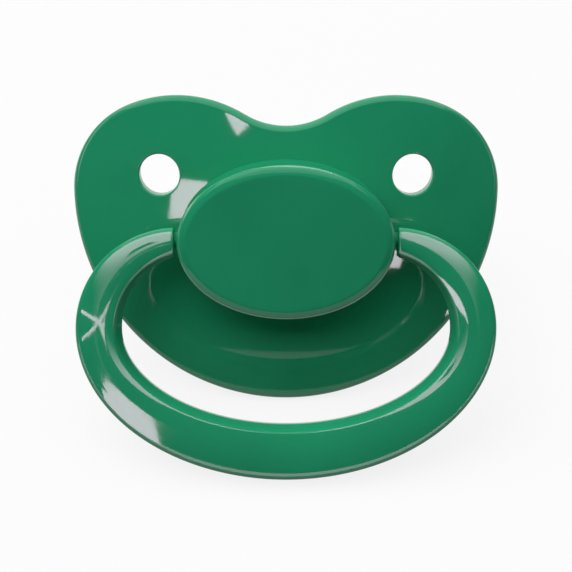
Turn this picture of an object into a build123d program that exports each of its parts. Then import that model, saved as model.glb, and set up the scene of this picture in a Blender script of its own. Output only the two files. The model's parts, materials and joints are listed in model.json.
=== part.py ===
"""Large pacifier: butterfly shield, silicone teat, oval knob with its cap, and a swinging ring handle.

Millimetres. +Z is up and -Y is the front. The pacifier stands on a table as it is put down: it leans
back on the shield's chin and the teat, and the ring has dropped forward onto the table. The origin is
on the table, under the middle of the whole object.
"""

import os
from math import acos, atan2, cos, degrees, hypot, radians, sin, sqrt

from build123d import *

# ---------------------------------------------------------------- driving dimensions
# Shield: a domed plate with two lobes on top and a round chin.
shield_half_width = 34.0
waist_height = 6.5            # height of the widest place above the pivot axis
chin_drop = 28.1              # from the pivot axis down to the chin
shoulder_radius = 14.6
crown_radius = 20.7
crown_turn = 24.5             # degrees past upright where the shoulder arc becomes the crown arc
notch_radius = 12.9
shield_thickness = 2.5
dome_radius = 110.0
shield_edge_radius = 1.1

# Vent holes, one in each wing.
vent_diameter = 6.4
vent_reach = 19.9             # sideways from the middle
vent_height = 9.4             # above the pivot axis
vent_edge_radius = 0.3

# Knob and cap: an oval column on the shield's front, closed by a bevelled cap.
knob_half_width = 16.8
knob_half_height = 12.1
knob_wall = 2.2
knob_height = 4.8             # from the shield's crown to the seam with the cap
knob_floor = 0.9
cap_thickness = 1.3
cap_bevel_width = 1.4
cap_bevel_depth = 1.15
cap_lip_depth = 0.7
cap_lip_wall = 1.0
cap_edge_radius = 0.2

# Teat: a flange held under the knob, a straight neck and a flattened bulb.
flange_width = 2.2            # how far the flange stands out around the neck
flange_thickness = 1.2
flange_sink = 0.107           # how far the flange's rim lies below the shield's front face
neck_radius = 8.2
neck_length = 6.5
teat_wall = 1.5
bulb_half_width = 13.6
bulb_half_height = 8.8
bulb_half_length = 13.5
bulb_distance = 24.0          # from the flange to the bulb's widest place
bulb_rise = 1.0               # how far the bulb's middle lies above the neck's
bulb_turns = (-42, -20, 0, 20, 40, 60, 78)   # sections of the bulb, in degrees about its middle

# Collar behind the shield, around the neck.
collar_wall = 1.6
collar_length = 1.8

# Stem of the knob, inside the neck, and the knob's two snap legs.
stem_wall = 1.4
stem_length = 6.0
leg_gap = 0.95                # from the flange's recess to a leg's slot
leg_thickness = 1.2
leg_width = 5.0
barb_depth = 0.45
barb_length = 1.4
slot_play = 0.15              # room between a leg and its slot, on each side

# Ring handle, with a pin on the inside of each end.
pivot_height = 2.4            # pivot axis in front of the shield's crown
ring_half_width = 32.7
ring_reach = 37.6             # from the pivot axis down to the ring's outer edge
ring_shoulder_radius = 15.8
ring_thickness = 3.8
ring_side_width = 6.9
ring_bottom_width = 8.5
grip_shoulder_radius = 11.6
grip_bevel_width = 1.0
grip_bevel_depth = 2.4
ring_end_rise = 1.9            # from the pivot axis up to the top of the ring's end
ring_edge_radius = 0.7
ring_end_radius = 0.25
grip_edge_radius = 0.3
pin_radius = 1.2
pin_reach_in = 1.9            # how far a pin enters the knob's wall

# Clearances.
pin_clearance = 0.05          # radial, pin in its socket
seat_clearance = 0.05         # knob to shield, flange in its recess, neck in its hole
ring_end_gap = 0.55           # ring end to the knob's side

os.makedirs("parts", exist_ok=True)

# ---------------------------------------------------------------- places along the front axis
crown = -pivot_height                                  # the shield's front face, in the middle
dome_middle = crown - dome_radius                      # centre of the dome's sphere


def dome_at(across, radius=dome_radius):
    """Place along the front axis of a sphere about the dome's centre, at a distance across."""
    return dome_middle + sqrt(radius**2 - across**2)


flange_radius = neck_radius + flange_width
flange_face = dome_at(flange_radius) - flange_sink
flange_back = flange_face - flange_thickness
seam = crown + knob_height                             # where the cap meets the knob
bulb_middle = flange_back - bulb_distance
ring_end = knob_half_width + ring_end_gap

# ---------------------------------------------------------------- how it stands
# Every height here is how far the pivot axis is above the table when that piece touches it.
chin_round = shield_thickness / 2
chin_up = -(chin_drop - chin_round)
chin_front = dome_at(chin_drop - chin_round, dome_radius - chin_round)


def chin_stand(lean):
    """Pivot height when the chin's rounded edge touches the table at this lean."""
    return chin_round - chin_up * cos(lean) - chin_front * sin(lean)


def bulb_stand(lean):
    """Pivot height when the bulb touches the table at this lean."""
    reach = hypot(bulb_half_height * cos(lean), bulb_half_length * sin(lean))
    return reach - bulb_rise * cos(lean) - bulb_middle * sin(lean)


def settle(low, high):
    """The lean at which chin and bulb touch the table together, by halving the range."""
    for _ in range(40):
        middle = (low + high) / 2
        if chin_stand(middle) > bulb_stand(middle):
            low = middle
        else:
            high = middle
    return (low + high) / 2


lean = settle(radians(2), radians(70))
pivot_above_table = chin_stand(lean)
foot_down = ring_reach - ring_edge_radius              # centre of the rounding at the ring's foot
foot_back = ring_thickness / 2 - ring_edge_radius
foot_reach = hypot(foot_down, foot_back)
foot_plumb = acos((pivot_above_table - ring_edge_radius) / foot_reach)
ring_drop = foot_plumb + atan2(foot_back, foot_down)   # the ring's plane, from plumb
ring_swing = ring_drop - lean                          # the ring's plane, from the shield's

front_most = -foot_down * sin(ring_drop) - foot_back * cos(ring_drop) - ring_edge_radius
bulb_back = hypot(bulb_half_height * sin(lean), bulb_half_length * cos(lean))
rear_most = bulb_back + bulb_rise * sin(lean) - bulb_middle * cos(lean)
pivot_back = -(front_most + rear_most) / 2             # puts the origin under the middle

# ---------------------------------------------------------------- working planes
# front: the shield's own plane through the pivot axis, +Z out of the front, +Y up the shield.
front = Plane(
    origin=(0, pivot_back, pivot_above_table),
    x_dir=(1, 0, 0),
    z_dir=(0, -cos(lean), sin(lean)),
)
across = Plane(front.origin, x_dir=front.x_dir, z_dir=front.x_dir.cross(front.z_dir))
sideways = Plane(front.origin, x_dir=front.y_dir, z_dir=front.x_dir)
ring_plane = front.rotated((-degrees(ring_swing), 0, 0))
front_axis = Axis(front.origin, front.z_dir)


def dome(radius, mode):
    """A sphere about the dome's centre, with its poles well away from the shield."""
    with Locations(front.offset(dome_middle)):
        Sphere(radius, rotation=(90, 0, 0), mode=mode)


def shield_outline(plane):
    """The shield's outline: chin and sides as half an ellipse, then shoulder, crown and notch arcs."""
    turn = radians(crown_turn)
    shoulder_x = -(shield_half_width - shoulder_radius)
    crown_step = crown_radius - shoulder_radius
    crown_x = shoulder_x + crown_step * sin(turn)
    crown_y = waist_height - crown_step * cos(turn)
    notch_y = crown_y + sqrt((crown_radius + notch_radius) ** 2 - crown_x**2)
    crown_end = degrees(atan2(notch_y - crown_y, -crown_x))
    with BuildSketch(plane) as outline:
        with BuildLine():
            EllipticalCenterArc(
                (0, waist_height), shield_half_width, chin_drop + waist_height, 180, arc_size=90
            )
            CenterArc((shoulder_x, waist_height), shoulder_radius, 180, crown_turn - 90)
            CenterArc((crown_x, crown_y), crown_radius, 90 + crown_turn, crown_end - 90 - crown_turn)
            CenterArc((0, notch_y), notch_radius, 180 + crown_end, 90 - crown_end)
            mirror(about=Plane.YZ)
        make_face()
    return outline.sketch


def both_sides(reach, height=0.0):
    """The two places at a distance either side of the middle."""
    return Locations((-reach, height), (reach, height))


def oval(inset=0.0, mode=Mode.ADD):
    """The knob's oval, drawn in by the inset."""
    Ellipse(knob_half_width - inset, knob_half_height - inset, mode=mode)


def bulb_sections(wall):
    """Sections from the end of the neck to the teat's tip, drawn in by the wall."""
    with BuildSketch(front.offset(flange_back - neck_length)) as neck_end:
        Circle(neck_radius - wall)
    sections = [neck_end.sketch]
    for turn in bulb_turns:
        station = bulb_middle - (bulb_half_length - wall) * sin(radians(turn))
        with BuildSketch(front.offset(station)) as section:
            with Locations((0, bulb_rise)):
                Ellipse(
                    (bulb_half_width - wall) * cos(radians(turn)),
                    (bulb_half_height - wall) * cos(radians(turn)),
                )
        sections.append(section.sketch)
    return sections


def rims_a_vent(edge):
    """Whether an edge is the rim of a vent hole, on the front or the back."""
    middle = front.to_local_coords(edge.center(CenterOf.MASS))
    offset = hypot(abs(middle.X) - vent_reach, middle.Y - vent_height)
    return edge.is_closed and offset < vent_diameter / 2


# ---------------------------------------------------------------- shield
slot_inner = flange_radius + seat_clearance + leg_gap
leg_reach = slot_inner + barb_depth + slot_play        # sideways to a leg's inner face
slot_outer = leg_reach + leg_thickness + slot_play
neck_hole = neck_radius + seat_clearance
back_radius = dome_radius - shield_thickness
collar_radius = neck_hole + collar_wall
collar_back = dome_at(collar_radius, back_radius) - collar_length
plate_back = dome_at(hypot(shield_half_width, chin_drop), back_radius)

with BuildPart() as shield:
    extrude(shield_outline(front.offset(plate_back)), amount=crown - plate_back + shield_thickness)
    dome(dome_radius, Mode.INTERSECT)
    dome(back_radius, Mode.SUBTRACT)
    fillet(shield.edges().filter_by(GeomType.LINE, reverse=True), shield_edge_radius)
    with BuildSketch(front.offset(collar_back)):
        Circle(collar_radius)
    extrude(amount=flange_back - collar_back)
    with BuildSketch(front.offset(flange_back)):
        Circle(flange_radius + seat_clearance)
    extrude(amount=crown - flange_back, mode=Mode.SUBTRACT)
    with BuildSketch(front.offset(plate_back)):
        Circle(neck_hole)
        with both_sides((slot_inner + slot_outer) / 2):
            Rectangle(slot_outer - slot_inner, leg_width + 2 * slot_play)
        with both_sides(vent_reach, vent_height):
            Circle(vent_diameter / 2)
    extrude(amount=crown - plate_back, mode=Mode.SUBTRACT)
    fillet(shield.edges().filter_by(rims_a_vent), vent_edge_radius)
shield.part.label = "shield"
export_step(shield.part, "parts/shield.step")

# ---------------------------------------------------------------- teat
with BuildPart() as teat_cavity:
    loft(bulb_sections(teat_wall))
    with BuildSketch(front.offset(flange_back - neck_length)):
        Circle(neck_radius - teat_wall)
    extrude(amount=neck_length + flange_thickness)

with BuildPart() as teat:
    loft(bulb_sections(0))
    with BuildSketch(front.offset(flange_back - neck_length)):
        Circle(neck_radius)
    extrude(amount=neck_length)
    with BuildSketch(front.offset(flange_back)):
        Circle(flange_radius)
    extrude(amount=flange_thickness)
    add(teat_cavity.part, mode=Mode.SUBTRACT)
teat.part.label = "teat"
export_step(teat.part, "parts/teat.step")

# ---------------------------------------------------------------- knob
socket_radius = pin_radius + pin_clearance
floor_front = crown + knob_floor
pad_back = flange_face + seat_clearance
stem_radius = neck_radius - teat_wall - seat_clearance
stem_back = flange_back - stem_length
barb_reach = leg_reach + leg_thickness + slot_play + barb_depth
leg_catch = dome_at(hypot(barb_reach, leg_width / 2), back_radius) - seat_clearance
leg_back = leg_catch - barb_length

with BuildPart() as knob:
    with BuildSketch(front.offset(dome_at(knob_half_width))):
        oval()
    extrude(amount=seam - dome_at(knob_half_width))
    dome(dome_radius + seat_clearance, Mode.SUBTRACT)
    with BuildSketch(front.offset(floor_front)):
        oval(knob_wall)
    extrude(amount=seam - floor_front, mode=Mode.SUBTRACT)
    with BuildSketch(front.offset(pad_back)):
        Circle(flange_radius)
    extrude(amount=floor_front - pad_back)
    with BuildSketch(front.offset(stem_back)):
        Circle(stem_radius)
    extrude(amount=floor_front - stem_back)
    with BuildSketch(front.offset(stem_back)):
        Circle(stem_radius - stem_wall)
    extrude(amount=pad_back - stem_back, mode=Mode.SUBTRACT)
    with BuildSketch(front.offset(leg_back)):
        with both_sides(leg_reach + leg_thickness / 2):
            Rectangle(leg_thickness, leg_width)
    extrude(amount=floor_front - leg_back)
    with BuildSketch(across):
        with BuildLine():
            Polyline(
                (leg_reach + leg_thickness, leg_back),
                (barb_reach, (leg_back + leg_catch) / 2),
                (barb_reach, leg_catch),
                (leg_reach + leg_thickness, leg_catch),
                close=True,
            )
        make_face()
        mirror(about=Plane.YZ)
    extrude(amount=leg_width / 2, both=True)
    with BuildSketch(sideways.offset(-knob_half_width)):
        Circle(socket_radius)
    extrude(amount=2 * knob_half_width, mode=Mode.SUBTRACT)
knob.part.label = "knob"
export_step(knob.part, "parts/knob.step")

# ---------------------------------------------------------------- cap
lip_inset = knob_wall + seat_clearance

with BuildPart() as cap:
    with BuildSketch(front.offset(seam)):
        oval()
    extrude(amount=cap_thickness)
    face = cap.faces().sort_by(front_axis)[-1]
    chamfer(face.edges(), length=cap_bevel_width, length2=cap_bevel_depth, reference=face)
    fillet(cap.faces().sort_by(front_axis)[-1].edges(), cap_edge_radius)
    with BuildSketch(front.offset(seam - cap_lip_depth)):
        oval(lip_inset)
        oval(lip_inset + cap_lip_wall, mode=Mode.SUBTRACT)
    extrude(amount=cap_lip_depth)
cap.part.label = "cap"
export_step(cap.part, "parts/cap.step")

# ---------------------------------------------------------------- ring handle
ring_waist = ring_end_rise - ring_shoulder_radius      # the ring's widest place, up the ring
ring_axis = Axis(ring_plane.origin, ring_plane.z_dir)
grip_half_width = ring_half_width - ring_side_width
grip_reach = ring_reach - ring_bottom_width


def ring_half(half_width, reach, shoulder):
    """One side of the ring's outer or inner outline, from its end to the middle of the bottom."""
    shoulder_x = half_width - shoulder
    opening = degrees(acos((ring_end - shoulder_x) / shoulder))
    arc = CenterArc((-shoulder_x, ring_waist), shoulder, 180 - opening, opening)
    EllipticalCenterArc((0, ring_waist), half_width, reach + ring_waist, 180, arc_size=90)
    return arc @ 0


with BuildLine(ring_plane) as outer_line:
    ring_half(ring_half_width, ring_reach, ring_shoulder_radius)
    mirror(about=Plane.YZ)


def follows_the_ring(edge):
    """Whether an edge runs along the ring, at one height above its plane."""
    rise = ring_plane.to_local_coords(edge @ 1).Z - ring_plane.to_local_coords(edge @ 0).Z
    return edge.geom_type != GeomType.LINE and abs(rise) < grip_edge_radius / 10


def is_outside(edge):
    """Whether an edge of the ring lies by its outer outline, not by the grip."""
    return outer_line.line.distance_to(edge.center()) < ring_side_width / 2


with BuildPart() as ring:
    with BuildSketch(ring_plane.offset(-ring_thickness / 2)):
        with BuildLine():
            outer_end = ring_half(ring_half_width, ring_reach, ring_shoulder_radius)
            inner_end = ring_half(grip_half_width, grip_reach, grip_shoulder_radius)
            Line(outer_end, inner_end)
            mirror(about=Plane.YZ)
        make_face()
    extrude(amount=ring_thickness)
    front_face = ring.faces().sort_by(ring_axis)[-1]
    grip_rim = front_face.edges().filter_by(follows_the_ring).filter_by(is_outside, reverse=True)
    chamfer(grip_rim, length=grip_bevel_width, length2=grip_bevel_depth, reference=front_face)
    fillet(ring.edges().filter_by(follows_the_ring).filter_by(is_outside), ring_edge_radius)
    grip_rims = ring.edges().filter_by(follows_the_ring).filter_by(is_outside, reverse=True)
    fillet(grip_rims, grip_edge_radius)
    fillet(ring.faces().filter_by(Axis.X).edges(), ring_end_radius)
    for side in (-1, 1):
        with BuildSketch(sideways.offset(side * (knob_half_width - pin_reach_in))):
            Circle(pin_radius)
        extrude(amount=side * (ring_end_gap + pin_reach_in + ring_edge_radius))
ring.part.label = "ring"
export_step(ring.part, "parts/ring.step")
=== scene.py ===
"""Looks for the pacifier: a glossy green shield, knob, cap and ring handle, and a clear silicone teat.

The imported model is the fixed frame, in metres. Sizes inside the classes are millimetres, and each
piece is built in its own plane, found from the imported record, and then put in its place.
"""

import json
import logging
import math
from collections.abc import Callable
from dataclasses import dataclass, field
from enum import Enum

import bmesh
import bpy
import numpy as np
from mathutils import Matrix, Vector
from mathutils.geometry import delaunay_2d_cdt


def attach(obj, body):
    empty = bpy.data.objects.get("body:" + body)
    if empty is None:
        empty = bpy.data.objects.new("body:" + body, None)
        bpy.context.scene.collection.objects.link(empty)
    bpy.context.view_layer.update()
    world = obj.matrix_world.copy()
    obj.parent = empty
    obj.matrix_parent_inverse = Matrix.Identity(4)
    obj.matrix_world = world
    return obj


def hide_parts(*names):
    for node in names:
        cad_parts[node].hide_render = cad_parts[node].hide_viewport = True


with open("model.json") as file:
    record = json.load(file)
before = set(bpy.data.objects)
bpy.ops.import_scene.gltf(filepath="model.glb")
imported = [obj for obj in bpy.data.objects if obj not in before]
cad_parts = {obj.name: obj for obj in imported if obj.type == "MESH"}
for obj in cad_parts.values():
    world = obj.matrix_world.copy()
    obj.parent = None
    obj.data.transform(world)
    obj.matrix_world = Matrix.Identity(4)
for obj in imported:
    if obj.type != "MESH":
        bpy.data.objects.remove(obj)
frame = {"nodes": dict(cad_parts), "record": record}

log = logging.getLogger("pacifier")

MM = 0.001
FULL_TURN = 2 * math.pi
TINY_ANGLE = 1e-6
SAME_SPOT = 1e-7

Loop = list[int]  # the numbers of a loop's points
Level = float | np.ndarray  # one level, or a level at each point
Lift = Callable[[float, float], tuple[np.ndarray, np.ndarray]]  # from (x, y) to a point and its facing
Colour = tuple[float, float, float]
SkyLine = tuple[tuple[float, float], ...]  # azimuth and elevation of each point, in degrees


class Shot(Enum):
    """The moulding shots, one for each plastic piece."""

    SHIELD = "shield"
    KNOB = "knob"
    CAP = "cap"
    RING = "ring"


class Body(Enum):
    """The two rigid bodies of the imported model."""

    SOOTHER = "soother"
    RING = "ring"


class Reach(Enum):
    """What a light acts on: the shading, the gloss, or both."""

    SHADE = "shade"
    GLOSS = "gloss"
    BOTH = "both"


# ---------------------------------------------------------------- places


@dataclass(frozen=True)
class Place:
    """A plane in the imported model's frame, with its own right, up and out directions."""

    origin: Vector
    right: Vector
    up: Vector
    out: Vector

    def matrix(self) -> Matrix:
        """The move from this place's millimetres to the model's metres."""
        turn = Matrix((self.right, self.up, self.out)).transposed().to_4x4()
        return Matrix.Translation(self.origin) @ turn @ Matrix.Scale(MM, 4)


def mount_named(name: str) -> dict:
    """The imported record's mount with this name."""
    return next(m for m in frame["record"]["mounts"] if m["name"] == name)


def joint_named(name: str) -> dict:
    """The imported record's joint with this name."""
    return next(j for j in frame["record"]["behaviour"]["joints"] if j["name"] == name)


def hinge_pivot() -> Vector:
    """The middle of the ring's hinge, in metres."""
    return Vector(joint_named("ring_hinge")["pos_m"])


def plane_facing(origin: Vector, out: Vector) -> Place:
    """A place that is level across the object and faces the way given.

    Args:
        origin: Its origin, in metres.
        out: The way its face looks.

    Returns:
        The place, with right along +X.
    """
    right = Vector((1, 0, 0))
    out = out.normalized()
    return Place(origin, right, out.cross(right), out)


def shield_place() -> Place:
    """The shield's plane through the ring's pivot, facing the way the cap faces."""
    return plane_facing(hinge_pivot(), Vector(mount_named("cap_face")["axis"]))


def ring_place() -> Place:
    """The ring's middle plane at rest, from its pivot and the middle of its grip."""
    down = Vector(mount_named("ring_grip")["pos_m"]) - hinge_pivot()
    return plane_facing(hinge_pivot(), Vector((1, 0, 0)).cross(-down.normalized()))


def shown(name: str, data: bpy.types.ID) -> bpy.types.Object:
    """Adds an object to the scene for a mesh, a light or a camera.

    Args:
        name: The object's name.
        data: What it holds.

    Returns:
        The new object.
    """
    made = bpy.data.objects.new(name, data)
    bpy.context.scene.collection.objects.link(made)
    return made


# ---------------------------------------------------------------- mesh tools


@dataclass
class Skin:
    """Loops of points joined into one smooth mesh, each with the way its surface faces."""

    points: list[tuple[float, ...]] = field(default_factory=list)
    facings: list[tuple[float, ...]] = field(default_factory=list)
    faces: list[tuple[int, ...]] = field(default_factory=list)

    def loop(self, points: np.ndarray, facings: np.ndarray | None = None) -> Loop:
        """Adds a closed loop of points.

        Args:
            points: One row of x, y, z for each point.
            facings: The unit normal at each point, or None to leave it to the mesh.

        Returns:
            The numbers of the new points.
        """
        first = len(self.points)
        self.points.extend(map(tuple, points))
        given = np.zeros_like(points) if facings is None else facings
        self.facings.extend(map(tuple, given))
        return list(range(first, first + len(points)))

    def bridge(self, a: Loop, b: Loop) -> None:
        """Joins two loops of the same length with four-sided faces."""
        for i, after in enumerate([*range(1, len(a)), 0]):
            self.faces.append((a[i], a[after], b[after], b[i]))

    def stack(self, loops: list[Loop]) -> None:
        """Bridges each loop to the next."""
        for a, b in zip(loops, loops[1:]):
            self.bridge(a, b)

    def close(self, first: Loop, last: Loop) -> None:
        """Closes the two ends of a tube with one flat face each."""
        self.faces += [tuple(first), tuple(reversed(last))]

    def patch(self, rims: list[Loop], lift: Lift, pitch: float, flip: bool) -> None:
        """Fills the space between an outer rim and the rims of its holes.

        Args:
            rims: The outer rim, then each hole's rim.
            lift: Gives the point and the facing above a flat place (x, y).
            pitch: Distance between the points inside.
            flip: Turns the faces over.
        """
        outlines = [np.array([self.points[i][:2] for i in rim]) for rim in rims]
        flat, numbers, edges = [], [], []
        for rim in rims:
            first = len(flat)
            flat += [Vector(self.points[i][:2]) for i in rim]
            numbers += rim
            edges += [(first + i, first + (i + 1) % len(rim)) for i in range(len(rim))]

        def filled(spot: np.ndarray) -> bool:
            """Whether a flat place is inside the outer rim and outside every hole."""
            return inside(spot, outlines[0]) and not any(inside(spot, o) for o in outlines[1:])

        low, high = outlines[0].min(axis=0), outlines[0].max(axis=0)
        for row, y in enumerate(np.arange(low[1], high[1], pitch * math.sqrt(3) / 2)):
            for x in np.arange(low[0] + (row % 2) * pitch / 2, high[0], pitch):
                spot = np.array((x, y))
                near = min(np.hypot(*(o - spot).T).min() for o in outlines)
                if near > pitch / 2 and filled(spot):
                    point, facing = lift(x, y)
                    numbers += self.loop(np.array([point]), np.array([facing]))
                    flat.append(Vector((x, y)))
        places, _, cells, origins, _, _ = delaunay_2d_cdt(flat, edges, [], 0, SAME_SPOT)
        for cell in cells:
            if filled(sum((np.array(places[i]) for i in cell), np.zeros(2)) / len(cell)):
                corner = [numbers[origins[i][0]] for i in cell]
                self.faces.append(tuple(reversed(corner)) if flip else tuple(corner))

    def turned_out(self, face: tuple[int, ...]) -> tuple[int, ...]:
        """Turns a face over where its points face the other way.

        Args:
            face: The numbers of its corners.

        Returns:
            The corners in the order that makes it face as its points do.
        """
        a, b, c = (Vector(self.points[i]) for i in face[:3])
        facing = sum((Vector(self.facings[i]) for i in face[:3]), Vector())
        return face if (b - a).cross(c - b).dot(facing) >= 0 else tuple(reversed(face))

    def piece(self, name: str, place: Place, keep_facings: bool = False) -> bpy.types.Object:
        """Makes the object.

        Args:
            name: The piece's name.
            place: The plane that the points were given in.
            keep_facings: Uses the given facings for shading instead of the mesh's own.

        Returns:
            The new object, linked into the scene, with smooth faces.
        """
        mesh = bpy.data.meshes.new(name)
        faces = [self.turned_out(face) for face in self.faces] if keep_facings else self.faces
        mesh.from_pydata(self.points, [], faces)
        mesh.transform(place.matrix())
        if not keep_facings:
            turned = bmesh.new()
            turned.from_mesh(mesh)
            bmesh.ops.recalc_face_normals(turned, faces=turned.faces)
            turned.to_mesh(mesh)
            turned.free()
        mesh.polygons.foreach_set("use_smooth", [True] * len(mesh.polygons))
        if keep_facings:
            turn = place.matrix().to_3x3().normalized()
            mesh.normals_split_custom_set_from_vertices(
                [(turn @ Vector(facing)).normalized() for facing in self.facings]
            )
        mesh.update()
        return shown(name, mesh)


def inside(spot: np.ndarray, outline: np.ndarray) -> bool:
    """Tells whether a flat place lies inside a closed outline.

    Args:
        spot: The place's x and y.
        outline: The outline's points, one in each row.

    Returns:
        True if it lies inside.
    """
    x, y = outline[:, 0], outline[:, 1]
    nx, ny = np.roll(x, -1), np.roll(y, -1)
    spans = (y > spot[1]) != (ny > spot[1])
    rise = np.where(ny == y, 1.0, ny - y)
    return bool(np.count_nonzero(spans & (spot[0] < (nx - x) * (spot[1] - y) / rise + x)) % 2)


def unit(rows: np.ndarray) -> np.ndarray:
    """Each row at length one."""
    return rows / np.linalg.norm(rows, axis=-1, keepdims=True)


def between(a: np.ndarray, b: np.ndarray, share: float) -> np.ndarray:
    """Turns each row of a towards the same row of b.

    Args:
        a: Unit vectors to start from.
        b: Unit vectors to end at.
        share: How far round to go, from 0 to 1.

    Returns:
        The unit vectors on the way.
    """
    angle = np.arccos(np.clip(np.sum(a * b, axis=-1, keepdims=True), -1, 1))
    swing = np.where(angle < TINY_ANGLE, 1.0, np.sin(angle))
    turned = (np.sin((1 - share) * angle) * a + np.sin(share * angle) * b) / swing
    return np.where(angle < TINY_ANGLE, a, turned)


def at_level(flat: np.ndarray, level: Level) -> np.ndarray:
    """Flat rows of x and y with a level added to each."""
    return np.column_stack([flat, np.broadcast_to(level, len(flat))])


def flat_facings(outline: np.ndarray) -> np.ndarray:
    """Unit vectors out of a closed flat outline drawn clockwise."""
    along = unit(np.roll(outline, -1, axis=0) - np.roll(outline, 1, axis=0))
    return np.stack([-along[:, 1], along[:, 0]], axis=1)


def rounded(corners: list[tuple[float, float, float]], steps: int, fill: float) -> np.ndarray:
    """Draws a closed section with rounded corners.

    Args:
        corners: x, y and the rounding radius of each corner, in order.
        steps: Spans in each rounding.
        fill: Longest gap on the straight runs.

    Returns:
        The section's points.
    """
    ends = []
    for i, (x, y, radius) in enumerate(corners):
        here = np.array((x, y))
        back = unit(np.array(corners[i - 1][:2]) - here)
        on = unit(np.array(corners[(i + 1) % len(corners)][:2]) - here)
        half = math.acos(float(np.clip(back @ on, -1, 1))) / 2
        centre = here + unit(back + on) * radius / math.sin(half)
        reach = radius / math.tan(half)
        start, stop = unit(here + back * reach - centre), unit(here + on * reach - centre)
        ends.append(
            [centre + radius * between(start, stop, k / steps) for k in range(steps + 1)]
        )
    points = []
    for i, arc in enumerate(ends):
        points += arc
        after = ends[(i + 1) % len(ends)][0]
        gap = float(np.linalg.norm(after - arc[-1]))
        runs = max(1, math.ceil(gap / fill))
        points += [arc[-1] + (after - arc[-1]) * k / runs for k in range(1, runs)]
    return np.array(points)


# ---------------------------------------------------------------- finishes


@dataclass
class Nodes:
    """A small helper that adds shader nodes to a material or a sky."""

    owner: bpy.types.Material | bpy.types.World
    end: str = "ShaderNodeOutputMaterial"

    def __post_init__(self) -> None:
        """Starts from an empty node tree with an output."""
        self.owner.use_nodes = True
        self.tree = self.owner.node_tree
        self.tree.nodes.clear()
        self.output = self.tree.nodes.new(self.end)

    def add(self, kind: str, **settings: object) -> bpy.types.Node:
        """Adds a node.

        Args:
            kind: The node's type.
            settings: Its properties by name, or its inputs by name with _ for a space.

        Returns:
            The new node.
        """
        node = self.tree.nodes.new(kind)
        for name, value in settings.items():
            if hasattr(node, name):
                setattr(node, name, value)
            else:
                node.inputs[name.replace("_", " ")].default_value = value
        return node

    def link(self, source: bpy.types.NodeSocket, target: bpy.types.NodeSocket) -> None:
        """Joins an output to an input."""
        self.tree.links.new(source, target)

    def noise(self, spot: bpy.types.NodeSocket, **settings: float) -> bpy.types.NodeSocket:
        """Adds a noise.

        Args:
            spot: Where the noise is read.
            settings: Its inputs by name.

        Returns:
            The noise's strength.
        """
        cloud = self.add("ShaderNodeTexNoise", **settings)
        self.link(spot, cloud.inputs["Vector"])
        return cloud.outputs["Fac"]

    def spread(self, share: bpy.types.NodeSocket, **settings: float) -> bpy.types.NodeSocket:
        """Adds a map from one range of numbers to another.

        Args:
            share: The number to map.
            settings: The two ranges' ends, as the map's inputs by name.

        Returns:
            The mapped number.
        """
        ranges = self.add("ShaderNodeMapRange", **settings)
        self.link(share, ranges.inputs["Value"])
        return ranges.outputs["Result"]

    def blend(
        self, share: bpy.types.NodeSocket, span: tuple[float, float], low: Colour, high: Colour
    ) -> bpy.types.NodeSocket:
        """Adds a blend between two colours.

        Args:
            share: How far along the blend is.
            span: The shares where it starts and ends.
            low: The colour it starts from.
            high: The colour it ends at.

        Returns:
            The blended colour.
        """
        ramp = self.add("ShaderNodeValToRGB")
        for element, at, colour in zip(ramp.color_ramp.elements, span, (low, high)):
            element.position, element.color = at, (*colour, 1)
        self.link(share, ramp.inputs["Fac"])
        return ramp.outputs["Color"]

    def bump(self, height: bpy.types.NodeSocket, strength: float, depth: float) -> bpy.types.NodeSocket:
        """Adds fine relief.

        Args:
            height: The relief's height.
            strength: How much it shows.
            depth: The height of a full step, in metres.

        Returns:
            The facing of the surface with its relief.
        """
        relief = self.add("ShaderNodeBump", Strength=strength, Distance=depth)
        self.link(height, relief.inputs["Height"])
        return relief.outputs["Normal"]

    def finish(self, shader: bpy.types.Node, **sources: bpy.types.NodeSocket) -> None:
        """Makes a shader the one that shows.

        Args:
            shader: The shader.
            sources: What feeds its inputs, by name with _ for a space.
        """
        for name, source in sources.items():
            self.link(source, shader.inputs[name.replace("_", " ")])
        self.link(shader.outputs[0], self.output.inputs["Surface"])


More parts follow.
